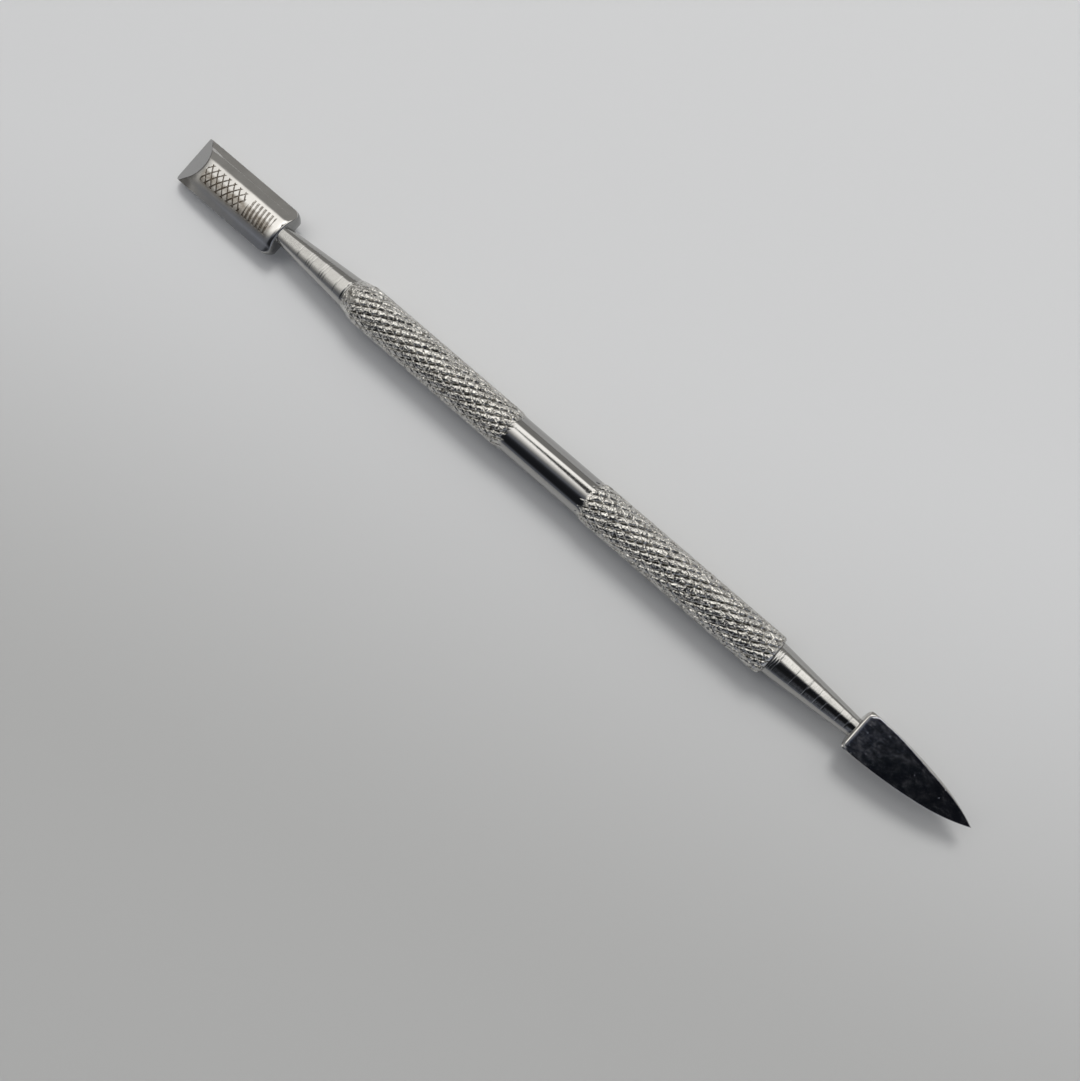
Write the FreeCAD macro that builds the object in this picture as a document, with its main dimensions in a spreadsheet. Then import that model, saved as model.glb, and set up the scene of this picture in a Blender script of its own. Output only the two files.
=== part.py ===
import FreeCAD, Part
import math
import os
import Sketcher

# A double-ended steel spudger: a knurled handle with a pusher tip pressed into one end and a spear tip
# into the other. Millimetres, +X from the pusher towards the spear, +Z up. The origin is under the
# middle of the tool's length, on the bench that the handle lies on.

SIZES = {
    # lengths along the tool
    "head_length": 18.4,
    "pusher_neck": 12.8,
    "grip_length": 28.2,
    "band_length": 13.3,
    "spear_neck": 12.3,
    "blade_length": 16.8,
    # handle: knurled grips (measured over the knurl's crests) and the plain band between them
    "grip_radius": 2.825,
    "band_radius": 2.625,
    "run_out": 0.25,
    "lead_length": 2.2,
    "lead_radius": 2.33,
    "rim_chamfer": 0.25,
    # press joint between each tip's tang and the handle's drilled socket
    "socket_radius": 1.5,
    "socket_depth": 10.0,
    "socket_chamfer": 0.2,
    "drill_point": 0.9,
    "tang_radius": 1.51,
    "tang_length": 9.0,
    "tang_chamfer": 0.35,
    # turned neck: a cone with a rounded-off collar and V-shaped tool marks
    "collar_radius": 2.27,
    "collar_chamfer": 0.12,
    "neck_root_radius": 1.27,
    "ring_depth": 0.06,
    "ring_width": 0.22,
    # pusher head: crowned top, flat underside, swept along a shallow downward arc
    "head_width": 7.1,
    "head_top": 1.4,
    "head_bottom": -1.4,
    "crown_width": 5.4,
    "crown_radius": 3.8,
    "side_top": -0.35,
    "side_bottom": -0.7,
    "sole_width": 5.4,
    "droop_radius": 300.0,
    "edge_thickness": 0.25,
    "bevel_angle": 36.0,
    "head_corner": 1.15,
    # spear blade: flat top that slopes down to the point, round belly, leaf outline of two arcs a side
    "blade_width": 5.5,
    "blade_top": 1.4,
    "tip_top": 0.5,
    "blade_rim": 0.5,
    "belly_depth": 1.2,
    "blade_corner": 0.5,
    "leaf_length": 6.0,
    "leaf_rear_radius": 61.4,
    "leaf_tip_radius": 23.4,
    "tip_thickness": 0.35,
    # how far a neck runs on inside its head or blade
    "neck_overlap": 0.6,
}

DERIVED = {
    "handle_half": "grip_length + band_length / 2",
    "tool_length": ("head_length + pusher_neck + 2 * grip_length + band_length + spear_neck"
                    " + blade_length"),
    "handle_middle": "head_length + pusher_neck + handle_half - tool_length / 2",
    "crown_drop": "crown_radius - sqrt(crown_radius ^ 2 - (crown_width / 2) ^ 2)",
    "head_tip": "pusher_neck + head_length",
    "head_droop": "droop_radius - sqrt(droop_radius ^ 2 - head_length ^ 2)",
    "blade_tip": "spear_neck + blade_length",
}

# distance of each turned mark from the handle's end face
PUSHER_RINGS = (1.8, 4.3, 7.1)
SPEAR_RINGS = (0.6, 5.3, 8.0)

CLEARANCE = 1.0
CUT_DEPTH = 12.0
LEAST_CUT = 0.01

doc = FreeCAD.newDocument("spudger")


def make_sheet():
    """Put the driving dimensions, and those that follow from them, into a spreadsheet."""
    sheet = doc.addObject("Spreadsheet::Sheet", "sizes")
    for row, (alias, value) in enumerate(SIZES.items(), start=1):
        sheet.set(f"A{row}", alias)
        sheet.set(f"B{row}", str(value))
        sheet.setAlias(f"B{row}", alias)
    for row, (alias, formula) in enumerate(DERIVED.items(), start=len(SIZES) + 1):
        sheet.set(f"A{row}", alias)
        sheet.setAlias(f"B{row}", alias)
        sheet.set(f"B{row}", f"={formula}")
    doc.recompute()
    return sheet


sheet = make_sheet()


def value(expression):
    """The number that a spreadsheet expression comes to."""
    result = sheet.evalExpression(expression)
    return float(getattr(result, "Value", result))


def bound(expression):
    """The same expression as other objects write it, with every alias read from the sheet."""
    words = sorted([*SIZES, *DERIVED], key=len, reverse=True)
    marks = {word: f"@{number}@" for number, word in enumerate(words)}
    for word, mark in marks.items():
        expression = expression.replace(word, mark)
    for word, mark in marks.items():
        expression = expression.replace(mark, f"sizes.{word}")
    return expression


def plane_of(body, role):
    """One of the body's own origin planes, such as XZ_Plane."""
    return next(item for item in body.Origin.OriginFeatures if item.Role == role)


def new_body(name):
    body = doc.addObject("PartDesign::Body", name)
    body.Label = name
    return body


def new_sketch(body, name, role, offset=None):
    """An empty sketch on an origin plane, moved along the plane's normal by the offset expression."""
    sketch = body.newObject("Sketcher::SketchObject", name)
    sketch.AttachmentSupport = [(plane_of(body, role), "")]
    sketch.MapMode = "FlatFace"
    if offset:
        sketch.setExpression("AttachmentOffset.Base.z", bound(offset))
    return sketch


def bind(sketch, constraint, expression):
    """Add one dimension and tie it to the spreadsheet."""
    index = sketch.addConstraint(constraint)
    sketch.setExpression(f"Constraints[{index}]", bound(expression))


def fix_point(sketch, geometry, end, x, y):
    """Hold one end of a line or arc at a place given by two expressions."""
    bind(sketch, Sketcher.Constraint("DistanceX", -1, 1, geometry, end, value(x)), x)
    bind(sketch, Sketcher.Constraint("DistanceY", -1, 1, geometry, end, value(y)), y)


def arc_through(start, end, radius, side):
    """The short arc from start to end; side is +1 if it bulges to the left of that direction."""
    chord = end - start
    left = FreeCAD.Vector(-chord.y, chord.x, 0).normalize()
    rise = radius - math.sqrt(radius ** 2 - (chord.Length / 2) ** 2)
    middle = (start + end) / 2 + left * (rise * side)
    return Part.Arc(start, middle, end)


def draw_outline(sketch, corners, arcs=None):
    """Draw a closed outline through corners, which are pairs of expressions.

    arcs maps a corner's number to (radius expression, side) where the edge that leaves it is round.
    """
    arcs = arcs or {}
    places = [FreeCAD.Vector(value(x), value(y), 0) for x, y in corners]
    ends = []
    for number, start in enumerate(places):
        end = places[(number + 1) % len(places)]
        if number in arcs:
            radius, side = arcs[number]
            edge = sketch.addGeometry(arc_through(start, end, value(radius), side))
            # an arc runs anticlockwise, so one that bulges left of its direction starts at its far end
            ends.append((edge, 2, 1) if side > 0 else (edge, 1, 2))
            bind(sketch, Sketcher.Constraint("Radius", edge, value(radius)), radius)
        else:
            edge = sketch.addGeometry(Part.LineSegment(start, end))
            ends.append((edge, 1, 2))
    for number, (edge, first, last) in enumerate(ends):
        following = ends[(number + 1) % len(ends)]
        sketch.addConstraint(Sketcher.Constraint("Coincident", edge, last, following[0], following[1]))
        fix_point(sketch, edge, first, *corners[number])


def revolve(body, sketch, name):
    """Turn a profile about the tool's axis."""
    turned = body.newObject("PartDesign::Revolution", name)
    turned.Profile = sketch
    turned.ReferenceAxis = (sketch, ["H_Axis"])
    turned.Angle = 360
    doc.recompute()
    return turned


def cut_through(body, sketch, name):
    """Cut a profile out of the body on both sides of the sketch, and check that it removed metal."""
    before = body.Shape.Volume
    pocket = body.newObject("PartDesign::Pocket", name)
    pocket.Profile = sketch
    pocket.Midplane = True
    pocket.Length = CUT_DEPTH
    doc.recompute()
    if not body.Shape.Volume < before - LEAST_CUT:
        raise RuntimeError(f"{name} removed nothing")
    return pocket


def make_handle():
    """One turned bar, plain in the middle and knurled at both sides, with a drilled socket in each end."""
    body = new_body("handle")
    sketch = new_sketch(body, "bar_profile", "XZ_Plane")
    draw_outline(sketch, [
        ("-handle_half", "socket_radius + socket_chamfer"),
        ("-handle_half", "lead_radius"),
        ("-handle_half + lead_length", "grip_radius"),
        ("-band_length / 2 - run_out", "grip_radius"),
        ("-band_length / 2", "band_radius"),
        ("band_length / 2", "band_radius"),
        ("band_length / 2 + run_out", "grip_radius"),
        ("handle_half - rim_chamfer", "grip_radius"),
        ("handle_half", "grip_radius - rim_chamfer"),
        ("handle_half", "socket_radius + socket_chamfer"),
        ("handle_half - socket_chamfer", "socket_radius"),
        ("handle_half - socket_depth", "socket_radius"),
        ("handle_half - socket_depth - drill_point", "0"),
        ("-handle_half + socket_depth + drill_point", "0"),
        ("-handle_half + socket_depth", "socket_radius"),
        ("-handle_half + socket_chamfer", "socket_radius"),
    ])
    revolve(body, sketch, "bar")
    body.setExpression("Placement.Base.x", bound("handle_middle"))
    body.setExpression("Placement.Base.z", bound("grip_radius"))
    return body


def add_stem(body, neck, rings):
    """Turn a tip's tang and neck. The tip's own frame starts at the handle's end face, +X outwards.

    neck names the neck's length in the sheet, and rings says where its turned marks are.
    """
    def neck_radius(place):
        return f"collar_radius - (collar_radius - neck_root_radius) * ({place}) / {neck}"

    corners = [
        ("-tang_length", "0"),
        ("-tang_length", "tang_radius - tang_chamfer"),
        ("-tang_length + tang_chamfer", "tang_radius"),
        ("0", "tang_radius"),
        ("0", "collar_radius - collar_chamfer"),
        ("collar_chamfer", neck_radius("collar_chamfer")),
    ]
    for ring in rings:
        start = f"{ring} - ring_width / 2"
        end = f"{ring} + ring_width / 2"
        corners.append((start, neck_radius(start)))
        corners.append((str(ring), neck_radius(str(ring)) + " - ring_depth"))
        corners.append((end, neck_radius(end)))
    corners.append((neck, "neck_root_radius"))
    corners.append((f"{neck} + neck_overlap", "neck_root_radius"))
    corners.append((f"{neck} + neck_overlap", "0"))
    sketch = new_sketch(body, body.Label + "_stem_profile", "XZ_Plane")
    draw_outline(sketch, corners)
    revolve(body, sketch, body.Label + "_stem")


def add_head(body):
    """Sweep the pusher head's section along its shallow arc, then grind its edge and rear corners."""
    section = new_sketch(body, "head_section", "YZ_Plane", offset="pusher_neck")
    draw_outline(section, [
        ("crown_width / 2", "head_top - crown_drop"),
        ("-crown_width / 2", "head_top - crown_drop"),
        ("-head_width / 2", "side_top"),
        ("-head_width / 2", "side_bottom"),
        ("-sole_width / 2", "head_bottom"),
        ("sole_width / 2", "head_bottom"),
        ("head_width / 2", "side_bottom"),
        ("head_width / 2", "side_top"),
    ], arcs={0: ("crown_radius", -1)})

    path = new_sketch(body, "head_path", "XZ_Plane")
    start = FreeCAD.Vector(value("pusher_neck"), 0, 0)
    end = FreeCAD.Vector(value("head_tip"), -value("head_droop"), 0)
    arc = path.addGeometry(arc_through(start, end, value("droop_radius"), 1))
    fix_point(path, arc, 2, "pusher_neck", "0")
    fix_point(path, arc, 1, "head_tip", "-head_droop")
    bind(path, Sketcher.Constraint("Radius", arc, value("droop_radius")), "droop_radius")
    doc.recompute()

    head = body.newObject("PartDesign::AdditivePipe", "head")
    head.Profile = section
    head.Spine = (path, ["Edge1"])
    doc.recompute()

    edge_top = "head_bottom - head_droop + edge_thickness"
    rise = "head_width * tan(bevel_angle)"
    fall = f"{CLEARANCE} * tan(bevel_angle)"
    bevel = new_sketch(body, "bevel_profile", "XZ_Plane")
    draw_outline(bevel, [
        (f"head_tip + {CLEARANCE}", f"{edge_top} - {fall}"),
        (f"head_tip + {CLEARANCE}", f"{edge_top} + {rise}"),
        ("head_tip - head_width", f"{edge_top} + {rise}"),
    ])
    cut_through(body, bevel, "bevel")

    for side, sign, bulge in (("left", "", 1), ("right", "-", -1)):
        corner = new_sketch(body, f"rear_corner_{side}", "XY_Plane")
        draw_outline(corner, [
            ("pusher_neck", f"{sign}(head_width / 2 - head_corner)"),
            ("pusher_neck + head_corner", f"{sign}head_width / 2"),
            ("pusher_neck + head_corner", f"{sign}(head_width / 2 + {CLEARANCE})"),
            (f"pusher_neck - {CLEARANCE}", f"{sign}(head_width / 2 + {CLEARANCE})"),
            (f"pusher_neck - {CLEARANCE}", f"{sign}(head_width / 2 - head_corner)"),
        ], arcs={0: ("head_corner", bulge)})
        cut_through(body, corner, f"rear_corner_{side}_cut")


def add_blade(body):
    """Pad the blade's D-shaped section, then grind its leaf outline, its sloping top and its belly."""
    section = new_sketch(body, "blade_section", "YZ_Plane", offset="spear_neck")
    drop = "(blade_top - blade_rim + belly_depth)"
    belly = f"((blade_width / 2) ^ 2 + {drop} ^ 2) / (2 * {drop})"
    draw_outline(section, [
        ("blade_width / 2", "blade_top"),
        ("-blade_width / 2", "blade_top"),
        ("-blade_width / 2", "blade_top - blade_rim"),
        ("blade_width / 2", "blade_top - blade_rim"),
    ], arcs={2: (belly, -1)})
    blade = body.newObject("PartDesign::Pad", "blade")
    blade.Profile = section
    blade.setExpression("Length", bound("blade_length"))
    doc.recompute()

    joint_x = "blade_tip - leaf_length"
    joint_y = ("(blade_width / 2 - leaf_rear_radius + sqrt(leaf_rear_radius ^ 2"
               " - (blade_length - blade_corner - leaf_length) ^ 2))")
    far_y = f"(blade_width / 2 + {CLEARANCE})"
    rear_x = f"spear_neck - {CLEARANCE}"
    outline = new_sketch(body, "leaf_outline", "XY_Plane")
    draw_outline(outline, [
        (rear_x, "blade_width / 2 - blade_corner"),
        ("spear_neck", "blade_width / 2 - blade_corner"),
        ("spear_neck + blade_corner", "blade_width / 2"),
        (joint_x, joint_y),
        ("blade_tip", "0"),
        (joint_x, f"-{joint_y}"),
        ("spear_neck + blade_corner", "-blade_width / 2"),
        ("spear_neck", "-(blade_width / 2 - blade_corner)"),
        (rear_x, "-(blade_width / 2 - blade_corner)"),
        (rear_x, f"-{far_y}"),
        (f"blade_tip + {CLEARANCE}", f"-{far_y}"),
        (f"blade_tip + {CLEARANCE}", far_y),
        (rear_x, far_y),
    ], arcs={
        1: ("blade_corner", 1),
        2: ("leaf_rear_radius", 1),
        3: ("leaf_tip_radius", 1),
        4: ("leaf_tip_radius", 1),
        5: ("leaf_rear_radius", 1),
        6: ("blade_corner", 1),
    })
    cut_through(body, outline, "leaf_outline_cut")

    slope = "(blade_top - tip_top) / blade_length"
    flat = new_sketch(body, "top_slope", "XZ_Plane")
    draw_outline(flat, [
        ("spear_neck", "blade_top"),
        (f"blade_tip + {CLEARANCE}", f"tip_top - {CLEARANCE} * {slope}"),
        (f"blade_tip + {CLEARANCE}", f"blade_top + {CLEARANCE}"),
        ("spear_neck", f"blade_top + {CLEARANCE}"),
    ])
    cut_through(body, flat, "top_slope_cut")

    rise = "(tip_top - tip_thickness + belly_depth)"
    curve = f"(blade_length ^ 2 + {rise} ^ 2) / (2 * {rise})"
    belly_cut = new_sketch(body, "belly_profile", "XZ_Plane")
    draw_outline(belly_cut, [
        ("spear_neck", "-belly_depth"),
        ("blade_tip", "tip_top - tip_thickness"),
        (f"blade_tip + {CLEARANCE}", "tip_top - tip_thickness"),
        (f"blade_tip + {CLEARANCE}", "-belly_depth"),
    ], arcs={0: (curve, -1)})
    cut_through(body, belly_cut, "belly_cut")


def make_pusher_tip():
    body = new_body("pusher_tip")
    add_stem(body, "pusher_neck", PUSHER_RINGS)
    add_head(body)
    half_turn = FreeCAD.Rotation(FreeCAD.Vector(0, 0, 1), 180)
    body.Placement = FreeCAD.Placement(FreeCAD.Vector(0, 0, 0), half_turn)
    body.setExpression("Placement.Base.x", bound("handle_middle - handle_half"))
    body.setExpression("Placement.Base.z", bound("grip_radius"))
    return body


def make_spear_tip():
    body = new_body("spear_tip")
    add_stem(body, "spear_neck", SPEAR_RINGS)
    add_blade(body)
    body.setExpression("Placement.Base.x", bound("handle_middle + handle_half"))
    body.setExpression("Placement.Base.z", bound("grip_radius"))
    return body


def check(bodies):
    """Stop if anything in the document failed or any piece isn't one valid solid."""
    doc.recompute()
    for item in doc.Objects:
        if {"Invalid", "Error"} & set(item.State):
            raise RuntimeError(f"{item.Name} is {item.State}")
    for body in bodies:
        shape = body.Shape
        if shape.isNull() or not shape.isValid() or len(shape.Solids) != 1:
            raise RuntimeError(f"{body.Label} is not one valid solid")


def export(bodies):
    os.makedirs("parts", exist_ok=True)
    for body in bodies:
        body.Shape.exportStep(f"parts/{body.Label}.step")
        box = body.Shape.BoundBox
        print(f"{body.Label}: {body.Shape.Volume:.2f} mm3, x {box.XMin:.2f} to {box.XMax:.2f}, "
              f"y {box.YMin:.2f} to {box.YMax:.2f}, z {box.ZMin:.2f} to {box.ZMax:.2f}")


pieces = [make_handle(), make_pusher_tip(), make_spear_tip()]
check(pieces)
export(pieces)
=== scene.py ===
import math

import bmesh
import bpy
import numpy as np
from mathutils import Matrix, Vector


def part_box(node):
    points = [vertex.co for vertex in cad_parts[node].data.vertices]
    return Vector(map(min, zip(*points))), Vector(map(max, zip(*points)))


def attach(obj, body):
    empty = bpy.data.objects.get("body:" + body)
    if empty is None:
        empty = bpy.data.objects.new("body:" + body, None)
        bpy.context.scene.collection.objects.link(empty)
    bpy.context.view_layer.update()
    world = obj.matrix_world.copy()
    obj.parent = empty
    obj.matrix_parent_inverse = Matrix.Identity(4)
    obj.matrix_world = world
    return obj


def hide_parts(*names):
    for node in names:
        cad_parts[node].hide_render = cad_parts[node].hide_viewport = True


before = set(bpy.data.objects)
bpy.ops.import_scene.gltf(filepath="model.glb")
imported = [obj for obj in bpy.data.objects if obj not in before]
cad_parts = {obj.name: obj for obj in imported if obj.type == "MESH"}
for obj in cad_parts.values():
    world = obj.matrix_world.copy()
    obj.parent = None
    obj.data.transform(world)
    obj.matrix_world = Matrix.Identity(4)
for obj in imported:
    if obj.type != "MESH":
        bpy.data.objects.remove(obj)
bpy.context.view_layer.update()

# Lengths are millimetres until a mesh is made, and each piece is placed from its CAD node's box.
MM = 0.001
MERGE_METRES = 1e-8
SLIVER_METRES = 2e-8
HANDLE_SHARP = 30
STEM_SHARP = 40
TIP_SHARP = 34
handle_low, handle_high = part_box("handle")
pusher_low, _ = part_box("pusher_tip")
_, spear_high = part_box("spear_tip")
PUSHER_FACE = handle_low.x / MM
SPEAR_FACE = handle_high.x / MM
HANDLE_LENGTH = SPEAR_FACE - PUSHER_FACE
HANDLE_MIDDLE = (SPEAR_FACE + PUSHER_FACE) / 2
AXIS_Z = (handle_low.z + handle_high.z) / 2 / MM
GRIP_RADIUS = (handle_high.z - handle_low.z) / 2 / MM

# handle
BAND_LENGTH = 13.3
BAND_RADIUS = 2.625
LEAD_LENGTH = 2.2
LEAD_RADIUS = 2.33
RIM_CHAMFER = 0.25
SOCKET_RADIUS = 1.5
SOCKET_DEPTH = 10.0
SOCKET_CHAMFER = 0.2
DRILL_POINT = 0.9
KNURL_STARTS = 16
KNURL_PITCH = 1.96
KNURL_STEPS = 13
KNURL_SPACING = 0.965
DEEP_GROOVE = (0.25, 0.30)
CROSS_GROOVE = (0.17, 0.11)
GROOVE_SHOULDER = 1.25
GROOVE_SHIFT = 0.03
GROOVE_SCATTER = 0.12
ROD_CROWN = 0.13
BURR_FALL = (0.06, 0.22)
BURR_SHARE = 0.45
DENT = 0.018
PUSHER_RUN_OUT = 0.75
SPEAR_RUN_OUT = 1.5
RUN_OUT_SCATTER = 0.12
BAND_RINGS = 12

# tips; a mark's shape is (place across it, share of its depth)
TANG_RADIUS = 1.51
TANG_LENGTH = 9.0
TANG_CHAMFER = 0.35
COLLAR_RADIUS = 2.27
COLLAR_CHAMFER = 0.12
NECK_ROOT_RADIUS = 1.27
PUSHER_NECK = 12.8
SPEAR_NECK = 12.3
NECK_COLUMNS = 96
MARK_SHAPE = ((-0.7, 0), (-0.5, 0), (-0.42, 0.7), (-0.3, 1), (0.1, 0.55), (0.5, 0), (0.7, 0))
ROOT_FILLET = 0.03
ROOT_OVERLAP = 0.5
ROOT_RADIUS = 0.6


def wobble(seed):
    """A repeatable number from -1 to 1 for any array of seeds."""
    return 2 * np.mod(np.sin(np.asarray(seed, float) * 12.9898 + 4.137) * 43758.5453, 1.0) - 1


def smooth(value, low, high):
    """0 below low, 1 above high, and an S curve between them."""
    t = np.clip((value - low) / (high - low), 0, 1)
    return t * t * (3 - 2 * t)


def new_object(name, points, faces, sharp_degrees):
    """A mesh object from points in millimetres, closed, with its normals outward."""
    mesh = bpy.data.meshes.new(name)
    mesh.from_pydata((np.asarray(points, float) * MM).tolist(), [], faces)
    work = bmesh.new()
    work.from_mesh(mesh)
    bmesh.ops.remove_doubles(work, verts=work.verts, dist=MERGE_METRES)
    bmesh.ops.recalc_face_normals(work, faces=work.faces)
    work.to_mesh(mesh)
    work.free()
    mesh.shade_smooth()
    mesh.set_sharp_from_angle(angle=math.radians(sharp_degrees))
    made = bpy.data.objects.new(name, mesh)
    bpy.context.scene.collection.objects.link(made)
    return made


def ring_faces(first, second, count):
    """Quads between two rings that start at these point numbers."""
    after = [(c + 1) % count for c in range(count)]
    return [(first + c, first + after[c], second + after[c], second + c) for c in range(count)]


def turned_points(profile, columns):
    """Rings of points about the tool's axis from (x, radius) pairs."""
    angle = np.arange(columns) * 2 * math.pi / columns
    rings = [np.stack([np.full(columns, x), r * np.sin(angle), AXIS_Z + r * np.cos(angle)], axis=1)
             for x, r in profile]
    return np.concatenate(rings)


# ---------------------------------------------------------------- handle

def groove(phase, shape, seed):
    """How deep one family of round-shouldered grooves cuts; every groove differs a little."""
    half_width, depth = shape
    nearest = np.round(phase)
    distance = np.abs(phase - nearest + GROOVE_SHIFT * wobble(nearest + seed)) * KNURL_SPACING
    reach = half_width * (1 + GROOVE_SCATTER * wobble(nearest * 2.3 + seed))
    inside = np.clip(1 - distance / reach, 0, 1)
    return depth * (1 + GROOVE_SCATTER * wobble(nearest * 1.7 + seed)) * inside ** GROOVE_SHOULDER


def knurled_rows(low, high, seed):
    """Offsets from low to high along a grip, and for each the cut below the crest at every column."""
    columns = KNURL_STARTS * KNURL_STEPS
    count = round((high - low) / (KNURL_PITCH / KNURL_STEPS))
    x = low + np.arange(count + 1) * (high - low) / count
    row = np.arange(count + 1)[:, None]
    column = np.arange(columns)[None, :]
    rod = (column - row) / KNURL_STEPS
    line = (column + row) / KNURL_STEPS
    crown = ROD_CROWN * (1 - 2 * np.abs(rod - np.round(rod))) ** 2
    burr = 1 - smooth(np.abs(line - np.round(line)) * KNURL_SPACING, *BURR_FALL)
    deep = groove(rod, DEEP_GROOVE, seed) * (1 - BURR_SHARE * burr)
    cross = groove(line, CROSS_GROOVE, seed + 31)
    dent = DENT * np.abs(wobble(row * 17.3 + column * 5.7 + seed))
    return x, np.maximum(np.maximum(deep, cross), crown) + dent


def knurled_faces(start, rows, columns):
    """Triangles whose diagonals follow whichever groove is nearer, so both families stay crisp."""
    faces = []
    for row in range(rows - 1):
        for column in range(columns):
            after = (column + 1) % columns
            a = start + row * columns + column
            b = start + row * columns + after
            c = start + (row + 1) * columns + after
            d = start + (row + 1) * columns + column
            cross = (row + column + 1) % KNURL_STEPS
            deep = (column - row) % KNURL_STEPS
            if min(cross, KNURL_STEPS - cross) < min(deep, KNURL_STEPS - deep):
                faces += [(a, b, d), (b, c, d)]
            else:
                faces += [(a, b, c), (a, c, d)]
    return faces


def make_handle():
    columns = KNURL_STARTS * KNURL_STEPS
    angle = np.arange(columns) * 2 * math.pi / columns
    grip = (HANDLE_LENGTH - BAND_LENGTH) / 2
    step = GRIP_RADIUS - BAND_RADIUS
    points, faces = [], []

    def add_rings(x, radius):
        start = len(points)
        x = np.broadcast_to(np.asarray(x, float)[:, None], radius.shape)
        block = np.stack([x, radius * np.sin(angle), AXIS_Z + radius * np.cos(angle)], axis=2)
        points.extend(block.reshape(-1, 3).tolist())
        return start

    def plain(profile):
        return add_rings([x for x, _ in profile],
                         np.array([r for _, r in profile])[:, None] * np.ones((1, columns)))

    def join(start, rows):
        for row in range(rows - 1):
            faces.extend(ring_faces(start + row * columns, start + (row + 1) * columns, columns))

    # pusher-end socket, from its drill point out to the end face
    first = plain([
        (PUSHER_FACE + SOCKET_DEPTH, SOCKET_RADIUS),
        (PUSHER_FACE + SOCKET_CHAMFER, SOCKET_RADIUS),
        (PUSHER_FACE, SOCKET_RADIUS + SOCKET_CHAMFER),
        (PUSHER_FACE, LEAD_RADIUS - 0.06),
    ])
    join(first, 4)
    last_ring = first + 3 * columns

    # grip beside the pusher: a lead cone, then rods whose crests fall to the band before the grooves end
    half_groove = np.round(np.arange(columns) / KNURL_STEPS * 2)
    x, cut = knurled_rows(0.02, grip + PUSHER_RUN_OUT, 3)
    crest = np.minimum(GRIP_RADIUS - step * smooth(x, grip - 0.85, grip - 0.15),
                       LEAD_RADIUS + (GRIP_RADIUS - LEAD_RADIUS) * x / LEAD_LENGTH)
    end = grip + 0.35 + RUN_OUT_SCATTER * wobble(half_groove + 5)[None, :]
    wheel = 1 - smooth(x[:, None], end - 0.15, end + 0.22)
    radius = np.minimum(GRIP_RADIUS - cut * wheel, crest[:, None])
    start = add_rings(PUSHER_FACE + x, radius)
    faces.extend(ring_faces(last_ring, start, columns))
    faces.extend(knurled_faces(start, len(x), columns))
    last_ring = start + (len(x) - 1) * columns

    # plain band
    steps = np.linspace(PUSHER_RUN_OUT, BAND_LENGTH - SPEAR_RUN_OUT, BAND_RINGS + 2)[1:-1]
    start = plain([(PUSHER_FACE + grip + s, BAND_RADIUS) for s in steps])
    faces.extend(ring_faces(last_ring, start, columns))
    join(start, len(steps))
    last_ring = start + (len(steps) - 1) * columns

    # grip beside the spear: grooves start first, then the rods rise, and all ends at a small chamfer
    x, cut = knurled_rows(-SPEAR_RUN_OUT, grip, 57)
    rim = np.minimum(GRIP_RADIUS - step * (1 - smooth(x, -0.45, 0.15)),
                     GRIP_RADIUS - RIM_CHAMFER + (grip - x))
    begin = -1.28 + RUN_OUT_SCATTER * wobble(half_groove + 9)[None, :]
    wheel = smooth(x[:, None], begin, begin + 0.35)
    radius = np.minimum(GRIP_RADIUS - cut * wheel, rim[:, None])
    start = add_rings(SPEAR_FACE - grip + x, radius)
    faces.extend(ring_faces(last_ring, start, columns))
    faces.extend(knurled_faces(start, len(x), columns))
    last_ring = start + (len(x) - 1) * columns

    # spear-end socket, from the end face in to its drill point
    start = plain([
        (SPEAR_FACE, SOCKET_RADIUS + SOCKET_CHAMFER),
        (SPEAR_FACE - SOCKET_CHAMFER, SOCKET_RADIUS),
        (SPEAR_FACE - SOCKET_DEPTH, SOCKET_RADIUS),
    ])
    faces.extend(ring_faces(last_ring, start, columns))
    join(start, 3)
    last_ring = start + 2 * columns

    for ring, x in ((first, PUSHER_FACE + SOCKET_DEPTH + DRILL_POINT),
                    (last_ring, SPEAR_FACE - SOCKET_DEPTH - DRILL_POINT)):
        points.append([x, 0.0, AXIS_Z])
        pole = len(points) - 1
        faces.extend((pole, ring + c, ring + (c + 1) % columns) for c in range(columns))
    return new_object("knurled_handle", points, faces, HANDLE_SHARP)


# ---------------------------------------------------------------- tips

def stem_profile(length, marks):
    """Tang, collar and neck as (distance from the handle's face, radius) pairs, outwards.

    marks are (place, depth, width) of the turned rings. The last rings lie inside the head or the blade.
    """
    def radius_at(place):
        return COLLAR_RADIUS - (COLLAR_RADIUS - NECK_ROOT_RADIUS) * place / length

    profile = [
        (-TANG_LENGTH, TANG_RADIUS - TANG_CHAMFER),
        (-TANG_LENGTH + TANG_CHAMFER, TANG_RADIUS),
        (0, TANG_RADIUS),
        (0, COLLAR_RADIUS - COLLAR_CHAMFER),
    ]
    for turn in range(1, 6):
        a = turn * math.pi / 10
        place = COLLAR_CHAMFER * (1 - math.cos(a))
        profile.append((place, radius_at(place) - COLLAR_CHAMFER * (1 - math.sin(a))))
    for place, depth, width in sorted(marks):
        for part, sink in MARK_SHAPE:
            x = place + part * width
            profile.append((x, radius_at(x) - depth * sink))
    end = length - ROOT_FILLET
    profile.append((end - 0.05, radius_at(end - 0.05)))
    for turn in range(6):
        a = turn * math.pi / 10
        profile.append((end + ROOT_FILLET * math.sin(a), radius_at(end) + ROOT_FILLET * (1 - math.cos(a))))
    profile.append((length + 0.04, radius_at(length)))
    profile.append((length + ROOT_OVERLAP, ROOT_RADIUS))
    return profile


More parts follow.
